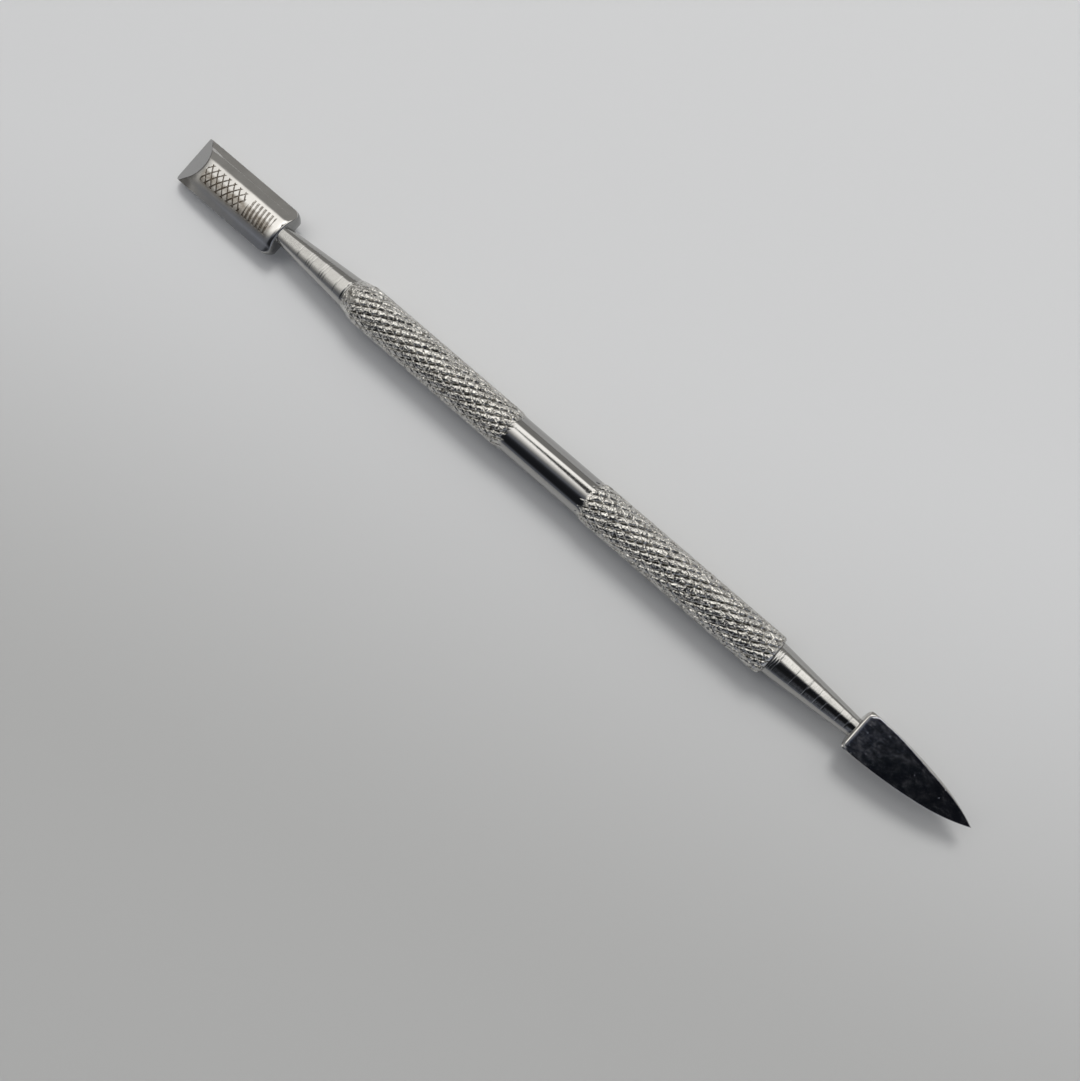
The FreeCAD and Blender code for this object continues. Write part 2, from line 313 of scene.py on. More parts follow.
def make_stem(name, face, direction, length, marks):
    """The turned part of a tip; direction is 1 when it points along +x from the handle's face."""
    profile = stem_profile(length, marks)
    points = turned_points([(face + direction * x, r) for x, r in profile], NECK_COLUMNS)
    faces = []
    for ring in range(len(profile) - 1):
        faces += ring_faces(ring * NECK_COLUMNS, (ring + 1) * NECK_COLUMNS, NECK_COLUMNS)
    faces.append(tuple(range(NECK_COLUMNS)))
    faces.append(tuple(range((len(profile) - 1) * NECK_COLUMNS, len(profile) * NECK_COLUMNS)))
    return new_object(name, points, faces, STEM_SHARP)


def fuse(base, other):
    """Join two closed solids into one closed solid."""
    modifier = base.modifiers.new("fuse", "BOOLEAN")
    modifier.operation = "UNION"
    modifier.solver = "EXACT"
    modifier.object = other
    graph = bpy.context.evaluated_depsgraph_get()
    mesh = bpy.data.meshes.new_from_object(base.evaluated_get(graph))
    base.modifiers.clear()
    base.data = mesh
    bpy.data.objects.remove(other)
    work = bmesh.new()
    work.from_mesh(mesh)
    bmesh.ops.dissolve_degenerate(work, dist=SLIVER_METRES, edges=work.edges)
    work.to_mesh(mesh)
    work.free()
    mesh.shade_smooth()
    mesh.set_sharp_from_angle(angle=math.radians(TIP_SHARP))
    return base


def loops_to_solid(name, loops):
    """A closed solid skinned over loops with the same number of points, flat at both ends."""
    size = len(loops[0])
    faces = []
    for row in range(len(loops) - 1):
        faces += ring_faces(row * size, (row + 1) * size, size)
    for start in (0, (len(loops) - 1) * size):
        for c in range(size // 2 - 1):
            faces.append((start + c, start + c + 1, start + size - 2 - c, start + size - 1 - c))
    return new_object(name, np.concatenate(loops), faces, TIP_SHARP)


def arc_back(y, half, radius):
    """How far a plan corner of this radius cuts back at y."""
    inside = np.clip((np.abs(y) - (half - radius)) / radius, 0, 1)
    return radius * (1 - np.sqrt(1 - inside ** 2))


# pusher head, in its own frame: x from the neck outwards, z from the tool's axis
HEAD_REAR = PUSHER_FACE - PUSHER_NECK
HEAD_LENGTH = HEAD_REAR - pusher_low.x / MM
HEAD_HALF = 3.55
HEAD_COLUMNS = 34
SIDE_CROWDING = 0.92
HEAD_TOP = 1.4
HEAD_BOTTOM = -1.4
CROWN_HALF = 2.7
CROWN_RADIUS = 3.8
SIDE_TOP = -0.35
SIDE_BOTTOM = -0.7
SHOULDER_BLEND = 0.12
SOLE_HALF = 2.7
NOSE_LENGTH = 5.0
NOSE_DROP = 0.42
TAIL_LENGTH = 1.0
TAIL_DROP = 0.05
DROOP_RADIUS = 300.0
EDGE_THICKNESS = 0.25
BEVEL_SLOPE = math.tan(math.radians(36))
REAR_CORNER = 1.15
LEFT_CORNER = 0.12
RIGHT_CORNER = 0.55
TOP_ROUND = 0.32
SOLE_ROUND = 0.07


def head_section():
    """Across the head: y, the z of the top, and how far the chamfer lifts the sole."""
    half = HEAD_HALF * np.sin(np.linspace(0, math.pi / 2, HEAD_COLUMNS)) ** SIDE_CROWDING
    y = np.concatenate([-half[:0:-1], half])
    width = np.abs(y)
    crown = HEAD_TOP - CROWN_RADIUS + np.sqrt(CROWN_RADIUS ** 2 - np.minimum(width, CROWN_HALF) ** 2)
    crown_end = HEAD_TOP - CROWN_RADIUS + math.sqrt(CROWN_RADIUS ** 2 - CROWN_HALF ** 2)
    side = crown_end + (SIDE_TOP - crown_end) * (width - CROWN_HALF) / (HEAD_HALF - CROWN_HALF)
    blend = smooth(width, CROWN_HALF - SHOULDER_BLEND, CROWN_HALF + SHOULDER_BLEND)
    top = crown * (1 - blend) + np.minimum(side, crown) * blend
    chamfer = np.clip((width - SOLE_HALF) / (HEAD_HALF - SOLE_HALF), 0, 1) * (SIDE_BOTTOM - HEAD_BOTTOM)
    return y, top, chamfer


def make_head():
    y, top, chamfer = head_section()
    rear = arc_back(y, HEAD_HALF, REAR_CORNER)
    corner = np.where(y < 0, arc_back(y, HEAD_HALF, RIGHT_CORNER), arc_back(y, HEAD_HALF, LEFT_CORNER))
    front = HEAD_LENGTH - corner
    droop = HEAD_LENGTH ** 2 / (2 * DROOP_RADIUS)

    def top_z(x):
        """The crown bends down along the droop, and a little more at the nose and at the rear edge."""
        nose = NOSE_DROP * np.clip((x - (HEAD_LENGTH - NOSE_LENGTH)) / NOSE_LENGTH, 0, 1) ** 2
        tail = TAIL_DROP * np.clip((TAIL_LENGTH - x) / TAIL_LENGTH, 0, 1) ** 2
        return top - x ** 2 / (2 * DROOP_RADIUS) - nose - tail

    def bottom_z(x):
        """The sole's chamfers run out before the front edge, which is ground flat."""
        lift = chamfer * (1 - smooth(x, HEAD_LENGTH - 3.2, HEAD_LENGTH - 0.7))
        return HEAD_BOTTOM + lift - x ** 2 / (2 * DROOP_RADIUS)

    def bevel_z(x):
        return HEAD_BOTTOM - droop + EDGE_THICKNESS + (HEAD_LENGTH - x) * BEVEL_SLOPE

    # the crease where the bevel meets the crown, by bisection
    low, high = np.full_like(y, HEAD_LENGTH / 2), front.copy()
    for _ in range(40):
        middle = (low + high) / 2
        above = top_z(middle) > bevel_z(middle)
        low, high = np.where(above, low, middle), np.where(above, middle, high)
    crease = (low + high) / 2

    # rows along the head: a rounded rear edge, the body up to the crease, then the bevel
    rows = []
    for turn in range(7):
        a = turn * math.pi / 12
        x = rear + TOP_ROUND * (1 - math.cos(a))
        fall = 1 - math.sin(a)
        rows.append((x, top_z(rear) - TOP_ROUND * fall, bottom_z(rear) + SOLE_ROUND * fall))
    body = rear + TOP_ROUND
    for s in np.concatenate([np.linspace(0.0, 0.09, 8)[1:], np.linspace(0.09, 0.78, 20)[1:],
                             np.linspace(0.78, 1.0, 16)[1:]]):
        x = body + (crease - body) * s
        rows.append((x, top_z(x), bottom_z(x)))
    for s in (0.02, 0.25, 0.5, 0.75, 1.0):
        x = crease + (front - crease) * s
        rows.append((x, bevel_z(x), bottom_z(x)))

    loops = []
    for x, z_top, z_bottom in rows:
        upper_half = np.stack([HEAD_REAR - x, y, AXIS_Z + z_top], axis=1)
        lower_half = np.stack([HEAD_REAR - x, y, AXIS_Z + z_bottom], axis=1)
        loops.append(np.concatenate([upper_half, lower_half[::-1]]))
    return loops_to_solid("head_blank", loops)


# spear blade, in its own frame like the head
BLADE_REAR = SPEAR_FACE + SPEAR_NECK
BLADE_LENGTH = spear_high.x / MM - BLADE_REAR
BLADE_HALF = 2.75
BLADE_TOP = 1.4
TIP_TOP = 0.5
TIP_THICKNESS = 0.35
BLADE_RIM = 0.5
BELLY_DEPTH = 1.2
BLADE_CORNER = 0.5
LEAF_LENGTH = 6.0
LEAF_REAR_RADIUS = 61.4
LEAF_TIP_RADIUS = 23.4
REAR_ROUND = 0.34
UPPER_CORNER = (2.0, 1.35)
LOWER_CORNER = (1.15, 0.65)
LOWER_SLOPE = 0.85
UPPER_SOFT = 0.16
UPPER_SWELL = 0.22
LOWER_SOFT = 0.10
POINT_HALF = 0.012
EDGE_SHARE = 0.72
EDGE_COLUMNS = 20
MIDDLE_COLUMNS = 9


def leaf_half(x):
    """Half the blade's width at x: a slow arc from the rear, then a quicker one to the point."""
    joint = BLADE_LENGTH - LEAF_LENGTH
    if x <= joint:
        run = max(x - BLADE_CORNER, 0)
        return BLADE_HALF - LEAF_REAR_RADIUS + math.sqrt(LEAF_REAR_RADIUS ** 2 - run ** 2)
    joint_half = leaf_half(joint)
    chord = math.hypot(LEAF_LENGTH, joint_half)
    middle = Vector((joint + LEAF_LENGTH / 2, joint_half / 2))
    inward = Vector((-joint_half, -LEAF_LENGTH)).normalized()
    centre = middle + inward * math.sqrt(LEAF_TIP_RADIUS ** 2 - (chord / 2) ** 2)
    return centre.y + math.sqrt(LEAF_TIP_RADIUS ** 2 - (x - centre.x) ** 2)


def blade_loop(x, sink):
    """One closed loop across the blade at x: a flat top with softened edges, thin rims and a round belly.

    sink is how far the section has shrunk where it rounds into the rear wall.
    """
    corner = BLADE_CORNER - math.sqrt(max(BLADE_CORNER ** 2 - max(BLADE_CORNER - x, 0) ** 2, 0))
    half = max(leaf_half(min(x, BLADE_LENGTH)) - corner - 0.5 * sink, POINT_HALF)
    top = BLADE_TOP + (TIP_TOP - BLADE_TOP) * x / BLADE_LENGTH - sink
    belly_rise = TIP_TOP - TIP_THICKNESS + BELLY_DEPTH
    belly_curve = (BLADE_LENGTH ** 2 + belly_rise ** 2) / (2 * belly_rise)
    bottom = -BELLY_DEPTH + belly_curve - math.sqrt(belly_curve ** 2 - x ** 2) + 0.4 * sink
    rim = max(top - BLADE_RIM, bottom + 0.25 * (top - bottom))
    swell = smooth(x, 3.0, 9.5) * (1 - smooth(x, 11.0, 16.0))
    loop = []
    y = np.concatenate([np.linspace(-1, -EDGE_SHARE, EDGE_COLUMNS),
                        np.linspace(-EDGE_SHARE, EDGE_SHARE, MIDDLE_COLUMNS + 2)[1:-1],
                        np.linspace(EDGE_SHARE, 1, EDGE_COLUMNS)])
    for f in y:
        edge = half * (1 - abs(f))
        if f > 0:
            soft = UPPER_SOFT + UPPER_SWELL * swell
            cut = math.hypot(max(1 - x / UPPER_CORNER[0], 0), max(1 - edge / UPPER_CORNER[1], 0)) - 1
        else:
            soft = LOWER_SOFT
            cut = LOWER_SLOPE * (1 - x / LOWER_CORNER[0] - edge / LOWER_CORNER[1])
        fall = soft - math.sqrt(soft ** 2 - max(soft - edge, 0) ** 2)
        loop.append((x, f * half, max(top - max(fall, cut), rim + 0.2 * (top - rim))))
    belly = max(rim - bottom, 1e-4)
    radius = (half ** 2 + belly ** 2) / (2 * belly)
    for f in y[::-1]:
        loop.append((x, half * f, rim - belly + radius - math.sqrt(max(radius ** 2 - (half * f) ** 2, 0))))
    return loop


def make_blade():
    loops = []
    for turn in range(8):
        a = turn * math.pi / 14
        loops.append(blade_loop(REAR_ROUND * (1 - math.cos(a)), REAR_ROUND * (1 - math.sin(a))))
    for s in np.linspace(0, 1, 64)[1:]:
        loops.append(blade_loop(REAR_ROUND + (BLADE_LENGTH - REAR_ROUND) * (1 - (1 - s) ** 1.25), 0.0))
    return loops_to_solid("blade_blank", [np.array(loop) + (BLADE_REAR, 0, AXIS_Z) for loop in loops])


def place(piece, slot_name, *nodes):
    """Put a piece on the tool's one body, in the place of its CAD nodes."""
    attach(piece, "root")
    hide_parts(*nodes)


# turned rings as (distance from the handle's face, depth, width)
PUSHER_MARKS = ((0.34, 0.05, 0.26), (1.8, 0.018, 0.16), (3.8, 0.018, 0.14), (4.23, 0.022, 0.16),
                (4.57, 0.022, 0.16), (6.3, 0.018, 0.14), (6.75, 0.02, 0.16), (7.1, 0.02, 0.16),
                (8.8, 0.018, 0.16))
SPEAR_MARKS = ((0.24, 0.03, 0.12), (0.52, 0.03, 0.14), (0.86, 0.025, 0.14), (3.4, 0.009, 0.14),
               (5.29, 0.025, 0.2), (6.86, 0.011, 0.16), (8.05, 0.016, 0.18), (10.0, 0.011, 0.16),
               (11.3, 0.02, 0.2))

handle = make_handle()
pusher = make_stem("pusher_end", PUSHER_FACE, -1, PUSHER_NECK, PUSHER_MARKS)
fuse(pusher, make_head())
spear = make_stem("spear_end", SPEAR_FACE, 1, SPEAR_NECK, SPEAR_MARKS)
fuse(spear, make_blade())
place(handle, "knurled_steel", "handle")
place(pusher, "polished_steel", "pusher_tip")
place(spear, "polished_steel", "spear_tip")


# ---------------------------------------------------------------- materials

KNURL_BRIGHT = (0.66, 0.65, 0.62, 1)
KNURL_DULL = (0.56, 0.547, 0.515, 1)
KNURL_PITS = (0.24, 0.23, 0.21, 1)
# painted shade for the knurl's grooves
PAINTED_GROOVE_SHADE = (0.035, 0.033, 0.03, 1)
BAND_STEEL = (0.42, 0.415, 0.405, 1)
POLISHED_BRIGHT = (0.60, 0.59, 0.57, 1)
POLISHED_DULL = (0.54, 0.53, 0.51, 1)
BLADE_DEEP = (0.26, 0.285, 0.35, 1)
BLADE_PALE = (0.50, 0.505, 0.53, 1)
NECK_STEEL = (0.44, 0.435, 0.42, 1)
# painted shade for the head's rear wall
PAINTED_WALL_SHADE = (0.27, 0.27, 0.265, 1)
# painted shade for the head's bevel
PAINTED_BEVEL_SHADE = (0.335, 0.33, 0.325, 1)
# painted shade for the crown's -Y side
PAINTED_CROWN_SHADE = (0.16, 0.14, 0.115, 1)
ETCHED = (0.085, 0.062, 0.042, 1)

# the etched pattern: its extent across the crown, and along it from the head's rear
ETCHED_ACROSS = (-1.75, 1.0)
HATCH_ALONG = (-14.0, -6.6)
HATCH_SLOPE = 0.7
HATCH_PERIOD = 1.05
STROKES_ALONG = (-5.9, -1.5)
STROKE_SLOPE = 0.12
STROKE_PERIOD = 0.66

FINE_BUMP = 0.00002
PITTED_BUMP = 0.00016


def node(tree, kind, inputs=None, **settings):
    """Add a node, set its options, and give each input a value or a link."""
    made = tree.nodes.new(kind)
    for key, item in settings.items():
        setattr(made, key, item)
    for key, item in (inputs or {}).items():
        if isinstance(item, bpy.types.NodeSocket):
            tree.links.new(item, made.inputs[key])
        else:
            made.inputs[key].default_value = item
    return made


def maths(tree, operation, first, second=0.0):
    return node(tree, "ShaderNodeMath", {0: first, 1: second}, operation=operation).outputs[0]


def product(tree, *factors):
    """The product of sockets or numbers, the first of them a socket."""
    result = factors[0]
    for factor in factors[1:]:
        result = maths(tree, "MULTIPLY", result, factor)
    return result


def total(tree, *terms):
    """The sum of sockets or numbers, the first of them a socket."""
    result = terms[0]
    for term in terms[1:]:
        result = maths(tree, "ADD", result, term)
    return result


def inverse(tree, value):
    return maths(tree, "SUBTRACT", 1.0, value)


def span(tree, source, low, high, to_low=0.0, to_high=1.0):
    """Smooth step from to_low to to_high as source goes from low to high."""
    made = node(tree, "ShaderNodeMapRange", {"Value": source, "From Min": low, "From Max": high,
                                             "To Min": to_low, "To Max": to_high},
                interpolation_type="SMOOTHSTEP")
    return made.outputs["Result"]


def stretched(tree, scale, turn=0.0):
    """Object coordinates turned about z by an angle, then scaled by a factor for each axis."""
    where = tree.nodes.get("where") or node(tree, "ShaderNodeTexCoord", name="where")
    return node(tree, "ShaderNodeMapping", {"Vector": where.outputs["Object"], "Rotation": (0, 0, turn),
                                            "Scale": scale}).outputs[0]


def noise_value(tree, scale, detail=3.0, roughness=0.5, distortion=0.0, turn=0.0):
    made = node(tree, "ShaderNodeTexNoise", {"Vector": stretched(tree, scale, turn), "Scale": 1.0,
                                             "Detail": detail, "Roughness": roughness,
                                             "Distortion": distortion})
    return made.outputs["Fac"]


def bump(tree, height, distance, strength, normal=None):
    inputs = {"Height": height, "Distance": distance, "Strength": strength}
    if normal is not None:
        inputs["Normal"] = normal
    return node(tree, "ShaderNodeBump", inputs).outputs["Normal"]


def mix_colour(tree, factor, first, second):
    made = node(tree, "ShaderNodeMix", data_type="RGBA")
    for key, item in ((0, factor), (6, first), (7, second)):
        if isinstance(item, bpy.types.NodeSocket):
            tree.links.new(item, made.inputs[key])
        else:
            made.inputs[key].default_value = item
    return made.outputs[2]


def new_material(name):
    material = bpy.data.materials.new(name)
    material.use_nodes = True
    tree = material.node_tree
    tree.nodes.clear()
    shader = node(tree, "ShaderNodeBsdfPrincipled", {"Metallic": 1.0})
    out = node(tree, "ShaderNodeOutputMaterial")
    tree.links.new(shader.outputs[0], out.inputs["Surface"])
    return material, tree, shader


def position(tree):
    """Object coordinates in millimetres, as separate x, y and z sockets."""
    made = node(tree, "ShaderNodeSeparateXYZ", {0: stretched(tree, (1 / MM, 1 / MM, 1 / MM))})
    return made.outputs


def between(tree, source, low, high, edge):
    """1 between low and high, with soft edges this wide."""
    return product(tree, span(tree, source, low - edge, low + edge),
                   span(tree, source, high - edge, high + edge, 1.0, 0.0))


def knurled_material():
    """Steel roughened by the knurling wheel, with a smoother turned band and painted shade in the grooves.
    """
    material, tree, shader = new_material("knurled_steel")
    x, y, z = position(tree)
    band = between(tree, x, HANDLE_MIDDLE - BAND_LENGTH / 2 - 0.1,
                   HANDLE_MIDDLE + BAND_LENGTH / 2 - 0.6, 0.25)

    # how far below the crests a point lies, with the lead cone allowed for
    off_axis = maths(tree, "SUBTRACT", z, AXIS_Z)
    radius = maths(tree, "SQRT", total(tree, product(tree, y, y), product(tree, off_axis, off_axis)))
    crest = node(tree, "ShaderNodeMapRange", {
        "Value": x, "From Min": PUSHER_FACE, "From Max": PUSHER_FACE + LEAD_LENGTH,
        "To Min": LEAD_RADIUS, "To Max": GRIP_RADIUS}).outputs["Result"]
    buried = span(tree, maths(tree, "SUBTRACT", crest, radius), 0.17, 0.28)
    buried = product(tree, buried, inverse(tree, band))

    cloud = noise_value(tree, (700, 700, 700), 4.0, 0.6)
    grain = noise_value(tree, (6500, 6500, 6500), 2.0, 0.5)
    worn = noise_value(tree, (2300, 2300, 2300), 1.0, 0.45, 0.8)
    turned = noise_value(tree, (22000, 700, 700), 2.0, 0.5)
    knurl = mix_colour(tree, span(tree, cloud, 0.3, 0.7), KNURL_BRIGHT, KNURL_DULL)
    knurl = mix_colour(tree, span(tree, worn, 0.55, 0.72), knurl, KNURL_PITS)
    # painted shade: the deeper a point lies in a groove, the nearer to black it is coloured
    knurl = mix_colour(tree, product(tree, buried, 0.9), knurl, PAINTED_GROOVE_SHADE)
    colour = mix_colour(tree, band, knurl, BAND_STEEL)
    tree.links.new(colour, shader.inputs["Base Color"])

    knurl_rough = span(tree, grain, 0.35, 0.7, 0.04, 0.13)
    band_rough = span(tree, turned, 0.3, 0.8, 0.03, 0.08)
    rough = node(tree, "ShaderNodeMix", {0: band, 2: knurl_rough, 3: band_rough})
    tree.links.new(rough.outputs[0], shader.inputs["Roughness"])

    knurl_normal = bump(tree, grain, FINE_BUMP, 0.5, bump(tree, worn, PITTED_BUMP, 0.9))
    band_normal = bump(tree, turned, FINE_BUMP, 0.12)
    normal = node(tree, "ShaderNodeMix", data_type="VECTOR")
    for key, item in ((0, band), (4, knurl_normal), (5, band_normal)):
        tree.links.new(item, normal.inputs[key])
    tree.links.new(normal.outputs[1], shader.inputs["Normal"])
    return material


def tip_material():
    """Polished steel with fine turning lines, polishing scratches, dull clouds and a few specks."""
    material, tree, shader = new_material("polished_steel")
    x, y, z = position(tree)

    # the blade's flat is only its plane, not the softened rim round it
    plane = product(tree, maths(tree, "SUBTRACT", x, BLADE_REAR), (TIP_TOP - BLADE_TOP) / BLADE_LENGTH)
    off_plane = maths(tree, "SUBTRACT", maths(tree, "SUBTRACT", z, plane), AXIS_Z + BLADE_TOP)
    flat = product(tree, span(tree, x, BLADE_REAR + 0.2, BLADE_REAR + 0.6),
                   span(tree, maths(tree, "ABSOLUTE", off_plane), 0.004, 0.03, 1.0, 0.0))
    neck = inverse(tree, maths(tree, "MAXIMUM", span(tree, x, BLADE_REAR - 0.1, BLADE_REAR),
                               span(tree, x, HEAD_REAR, HEAD_REAR + 0.1, 1.0, 0.0)))

    cloud = noise_value(tree, (420, 420, 420), 4.0, 0.6)
    mottle = noise_value(tree, (900, 1300, 900), 6.0, 0.68, 0.4)
    fine = noise_value(tree, (2600, 2600, 2600), 4.0, 0.65)
    streak = noise_value(tree, (700, 9000, 9000), 3.0, 0.6)
    slant = noise_value(tree, (900, 11000, 9000), 2.0, 0.5, 0.0, math.radians(-52))
    specks = noise_value(tree, (3300, 3300, 3300), 0.0, 0.0)

    base = mix_colour(tree, span(tree, cloud, 0.3, 0.7), POLISHED_BRIGHT, POLISHED_DULL)
    steel_blue = mix_colour(tree, span(tree, mottle, 0.3, 0.7), BLADE_DEEP, BLADE_PALE)
    base = mix_colour(tree, flat, base, steel_blue)
    base = mix_colour(tree, neck, base, NECK_STEEL)

    # painted shade: the head's ground bevel and its rear wall are coloured darker than the polished crown,
    # standing in for the shaded floor they reflect
    front_z = AXIS_Z + HEAD_BOTTOM - HEAD_LENGTH ** 2 / (2 * DROOP_RADIUS) + EDGE_THICKNESS
    rise = product(tree, maths(tree, "SUBTRACT", x, HEAD_REAR - HEAD_LENGTH), BEVEL_SLOPE)
    off_bevel = maths(tree, "ABSOLUTE", maths(tree, "SUBTRACT", maths(tree, "SUBTRACT", z, front_z), rise))
    bevel_shade = product(tree, span(tree, off_bevel, 0.02, 0.12, 1.0, 0.0),
                     span(tree, x, HEAD_REAR - 9, HEAD_REAR - 8, 1.0, 0.0))
    outward = maths(tree, "SUBTRACT", maths(tree, "ABSOLUTE", y), HEAD_HALF - REAR_CORNER)
    outward = maths(tree, "DIVIDE", maths(tree, "MAXIMUM", outward, 0.0), REAR_CORNER)
    chord = maths(tree, "SQRT", inverse(tree, product(tree, outward, outward)))
    wall_x = maths(tree, "SUBTRACT", HEAD_REAR, product(tree, inverse(tree, chord), REAR_CORNER))
    wall_shade = product(tree, span(tree, maths(tree, "SUBTRACT", x, wall_x), -0.16, -0.08),
                     span(tree, x, HEAD_REAR + 0.01, HEAD_REAR + 0.03, 1.0, 0.0))
    base = mix_colour(tree, wall_shade, base, PAINTED_WALL_SHADE)
    base = mix_colour(tree, bevel_shade, base, PAINTED_BEVEL_SHADE)

    # a plain etched pattern on the pusher's crown: a lozenge hatch, then a block of slanted strokes
    def lines(slope, period, low, high):
        across = total(tree, x, product(tree, y, slope))
        wave = maths(tree, "SINE", product(tree, across, 2 * math.pi / period))
        return span(tree, wave, low, high)

    def along_head(extent, edge):
        return between(tree, x, HEAD_REAR + extent[0], HEAD_REAR + extent[1], edge)

    upper = span(tree, z, AXIS_Z, AXIS_Z + 0.3)
    crown = product(tree, between(tree, y, *ETCHED_ACROSS, 0.06), upper)
    crossed = maths(tree, "MAXIMUM", lines(HATCH_SLOPE, HATCH_PERIOD, 0.70, 0.94),
                    lines(-HATCH_SLOPE, HATCH_PERIOD, 0.70, 0.94))
    hatch = product(tree, along_head(HATCH_ALONG, 0.05), crossed)
    block = product(tree, along_head(STROKES_ALONG, 0.05), lines(STROKE_SLOPE, STROKE_PERIOD, -0.2, 0.5))
    strokes = product(tree, crown, maths(tree, "MAXIMUM", hatch, product(tree, block, 0.75)),
                      span(tree, fine, 0.25, 0.6, 0.45, 1.0))
    # painted shade: a brown darkening over the crown's -Y half along the etched length
    crown_shade = product(tree, between(tree, y, -1.95, -0.15, 0.25), upper, along_head((-14.2, -1.3), 0.4),
                    span(tree, mottle, 0.25, 0.65, 0.35, 0.9))
    base = mix_colour(tree, crown_shade, base, PAINTED_CROWN_SHADE)
    base = mix_colour(tree, product(tree, strokes, 0.92), base, ETCHED)
    tree.links.new(base, shader.inputs["Base Color"])

    rough = total(
        tree, span(tree, cloud, 0.3, 0.75, 0.04, 0.09), span(tree, streak, 0.5, 0.8, 0.0, 0.04),
        product(tree, flat, span(tree, mottle, 0.4, 0.7, 0.0, 0.07)),
        product(tree, flat, span(tree, slant, 0.64, 0.72, 0.0, 0.12)),
        product(tree, flat, span(tree, specks, 0.84, 0.86, 0.0, 0.6)),
        product(tree, strokes, 0.4))
    tree.links.new(rough, shader.inputs["Roughness"])

    turning = product(tree, neck, noise_value(tree, (24000, 900, 900), 2.0, 0.5))
    normal = bump(tree, noise_value(tree, (500, 500, 500), 1.0, 0.5), 0.001, 0.012)
    for height, strength in ((streak, 0.12), (turning, 0.3), (product(tree, flat, fine), 0.15),
                             (product(tree, flat, slant), 0.2)):
        normal = bump(tree, height, FINE_BUMP, strength, normal)
    normal = bump(tree, inverse(tree, strokes), 2 * FINE_BUMP, 0.5, normal)
    tree.links.new(normal, shader.inputs["Normal"])
    return material


tip_steel = tip_material()
handle.data.materials.append(knurled_material())
for piece in (pusher, spear):
    piece.data.materials.clear()
    piece.data.materials.append(tip_steel)

# ---------------------------------------------------------------- stage, light and camera

FLOOR_HALF = 6
FLOOR_LIGHT = (0.745, 0.755, 0.77, 1)
FLOOR_SHADED = (0.525, 0.53, 0.53, 1)
floor_mesh = bpy.data.meshes.new("floor")
floor_mesh.from_pydata([(-FLOOR_HALF, -FLOOR_HALF, 0), (FLOOR_HALF, -FLOOR_HALF, 0),
                        (FLOOR_HALF, FLOOR_HALF, 0), (-FLOOR_HALF, FLOOR_HALF, 0)], [], [(0, 1, 2, 3)])
floor = bpy.data.objects.new("floor", floor_mesh)
bpy.context.scene.collection.objects.link(floor)
floor_material, floor_tree, floor_shader = new_material("pale_floor")
floor_shader.inputs["Metallic"].default_value = 0.0
floor_shader.inputs["Roughness"].default_value = 0.75
floor_shader.inputs["Specular IOR Level"].default_value = 0.2
floor_x, floor_y, _ = position(floor_tree)
away = maths(floor_tree, "SUBTRACT", product(floor_tree, floor_x, 0.35), floor_y)
floor_tree.links.new(mix_colour(floor_tree, span(floor_tree, away, -22, 62), FLOOR_LIGHT, FLOOR_SHADED),
                     floor_shader.inputs["Base Color"])
floor.data.materials.append(floor_material)

# a soft lamp on the window's side firms up the shadow; the steel doesn't reflect it
WARM_LIGHT = (1.0, 0.985, 0.955, 1)
LAMP_DISTANCE = 0.8
lamp_data = bpy.data.lights.new("lamp", "AREA")
lamp_data.shape = "DISK"
lamp_data.size = 0.26
lamp_data.energy = 2.3
lamp_data.color = WARM_LIGHT[:3]
lamp = bpy.data.objects.new("lamp", lamp_data)
bpy.context.scene.collection.objects.link(lamp)
lamp_way = Vector((-0.174, 0.606, 0.776))
lamp.location = lamp_way * LAMP_DISTANCE
lamp.rotation_euler = lamp_way.to_track_quat("Z", "Y").to_euler()
lamp.visible_glossy = False

world = bpy.data.worlds.new("studio")
bpy.context.scene.world = world
world.use_nodes = True
sky = world.node_tree
sky.nodes.clear()
direction = node(sky, "ShaderNodeTexCoord").outputs["Generated"]


def towards(vector):
    made = node(sky, "ShaderNodeVectorMath", {0: direction, 1: vector}, operation="DOT_PRODUCT")
    return made.outputs["Value"]


def ramp(source, stops):
    """Piecewise linear levels given as (place, level) pairs, places between -1 and 1."""
    shifted = maths(sky, "MULTIPLY", maths(sky, "ADD", source, 1.0), 0.5)
    made = node(sky, "ShaderNodeValToRGB", {0: shifted})
    marks = made.color_ramp.elements
    for number, (place, level) in enumerate(stops):
        mark = marks[number] if number < 2 else marks.new(1.0)
        mark.position = (place + 1) / 2
        mark.color = (level, level, level, 1)
    return made.outputs[0]


# A big soft window stands high on the +Y, -X side, with a dim wall low down beside it and a dark room
# opposite. The far end of the room, on +X, is dim near the horizon. Only reflections and the light on the
# floor come from this; the camera itself sees plain grey.
WINDOW, WALL, ROOM, HORIZON = 2.1, 0.33, 0.012, 0.2
COOL_LIGHT = (0.88, 0.94, 1.10, 1)
PLAIN_GREY = (0.5, 0.5, 0.5, 1)
along_tool = towards((1, 0, 0))
height = towards((0, 0, 1))
side = towards((-0.585, 0.81, 0.03))
side = product(sky, side, span(sky, along_tool, 0.0, 0.2, 1.0, 2.4))
side = total(sky, side, span(sky, along_tool, -0.60, -0.20, 0.25, 0.0))
lower = towards((0.342, -0.561, 0.754))
swerve = total(sky, along_tool, 0.17)
lower = total(sky, lower, product(sky, swerve, swerve, 0.5))
window = ramp(side, ((-0.42, 0.004), (-0.29, 0.010), (-0.22, 0.028), (-0.15, 0.08), (-0.05, 0.12),
                     (0.03, 0.21), (0.10, 0.37), (0.20, 0.60), (0.29, 0.85), (0.40, 1.0)))
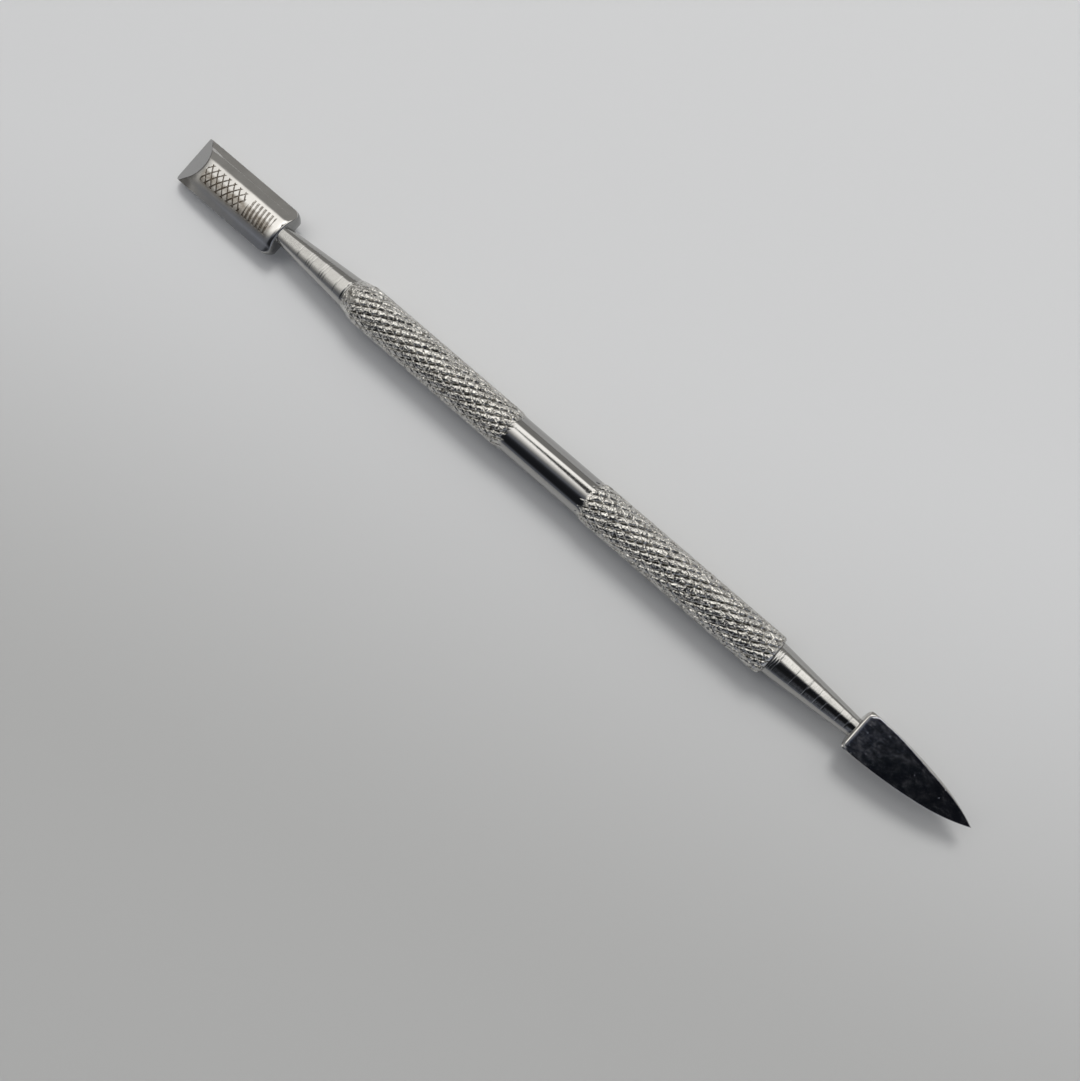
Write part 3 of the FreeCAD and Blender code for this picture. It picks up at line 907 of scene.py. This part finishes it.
fade = ramp(along_tool, ((-1.0, 0.13), (-0.70, 0.15), (-0.66, 0.54), (-0.60, 0.62), (-0.30, 0.95),
                         (-0.1, 1.0), (0.10, 0.95), (0.22, 0.90), (0.28, 0.86), (0.36, 0.22),
                         (0.44, 0.03), (1.0, 0.02)))
dim = product(sky, span(sky, along_tool, -0.55, -0.30, 0.03, 0.0), span(sky, side, -0.2, 0.1, 1.0, 0.0))

# a dark glazing bar that widens from the pusher's end, and a dark patch towards the spear's end
sash = maths(sky, "ABSOLUTE", towards((0, 0.903, -0.430)))
bar_width = product(sky, total(sky, along_tool, 0.275), 1.9)
bar = product(sky, span(sky, maths(sky, "SUBTRACT", bar_width, sash), -0.02, 0.035),
              span(sky, along_tool, 0.0, 0.12, 1.0, 0.0), span(sky, height, 0.2, 0.4))
patch = product(sky, span(sky, along_tool, 0.21, 0.26, 0.0, 0.93), span(sky, side, -0.13, -0.02, 1.0, 0.0))
level = product(sky, window, fade, WINDOW, inverse(sky, product(sky, bar, 0.96)), inverse(sky, patch))

low_light = product(sky, span(sky, height, 0.0, 0.38, HORIZON, 0.0), span(sky, side, -0.3, 0.1, 1.0, 0.0))
far_end = product(sky, span(sky, along_tool, 0.22, 0.40, 0.0, 0.34),
                  span(sky, height, 0.55, 0.80, 1.0, 0.0))
far_end = maths(sky, "MAXIMUM", far_end, span(sky, along_tool, 0.46, 0.66, 0.0, 0.28))
level = total(sky, level, dim, ROOM, low_light, far_end)
level = node(sky, "ShaderNodeMix", {0: span(sky, lower, -0.13, 0.02), 2: WALL, 3: level}).outputs[0]
tint = mix_colour(sky, span(sky, side, -0.2, 0.1), COOL_LIGHT, WARM_LIGHT)
room = node(sky, "ShaderNodeBackground", {"Color": tint, "Strength": level})
plain = node(sky, "ShaderNodeBackground", {"Color": PLAIN_GREY, "Strength": 1.0})
seen = node(sky, "ShaderNodeLightPath").outputs["Is Camera Ray"]
either = node(sky, "ShaderNodeMixShader", {0: seen, 1: room.outputs[0], 2: plain.outputs[0]})
node(sky, "ShaderNodeOutputWorld", {"Surface": either.outputs[0]})

# the camera looks down at TARGET, turned about its own line of sight and tilted along the tool
TILT = math.radians(9.7)
TURN = math.radians(41.35664)
DISTANCE = 132.8
SENSOR_WIDTH = 36
FOCAL_LENGTH = 35.9667
TARGET = Vector((5.82, -7.84, AXIS_Z))
along = Vector((math.cos(TILT), 0, -math.sin(TILT)))
across = Vector((0, 1, 0))
right = along * math.cos(TURN) + across * math.sin(TURN)
up = across * math.cos(TURN) - along * math.sin(TURN)
backward = right.cross(up)
camera_data = bpy.data.cameras.new("camera")
camera_data.sensor_width = SENSOR_WIDTH
camera_data.lens = FOCAL_LENGTH
camera_data.clip_start = 0.005
camera_data.clip_end = 50
camera = bpy.data.objects.new("camera", camera_data)
bpy.context.scene.collection.objects.link(camera)
camera.matrix_world = Matrix.Translation((TARGET + backward * DISTANCE) * MM) @ Matrix(
    (right, up, backward)).transposed().to_4x4()
bpy.context.scene.camera = camera
bpy.context.scene.view_settings.view_transform = "Standard"
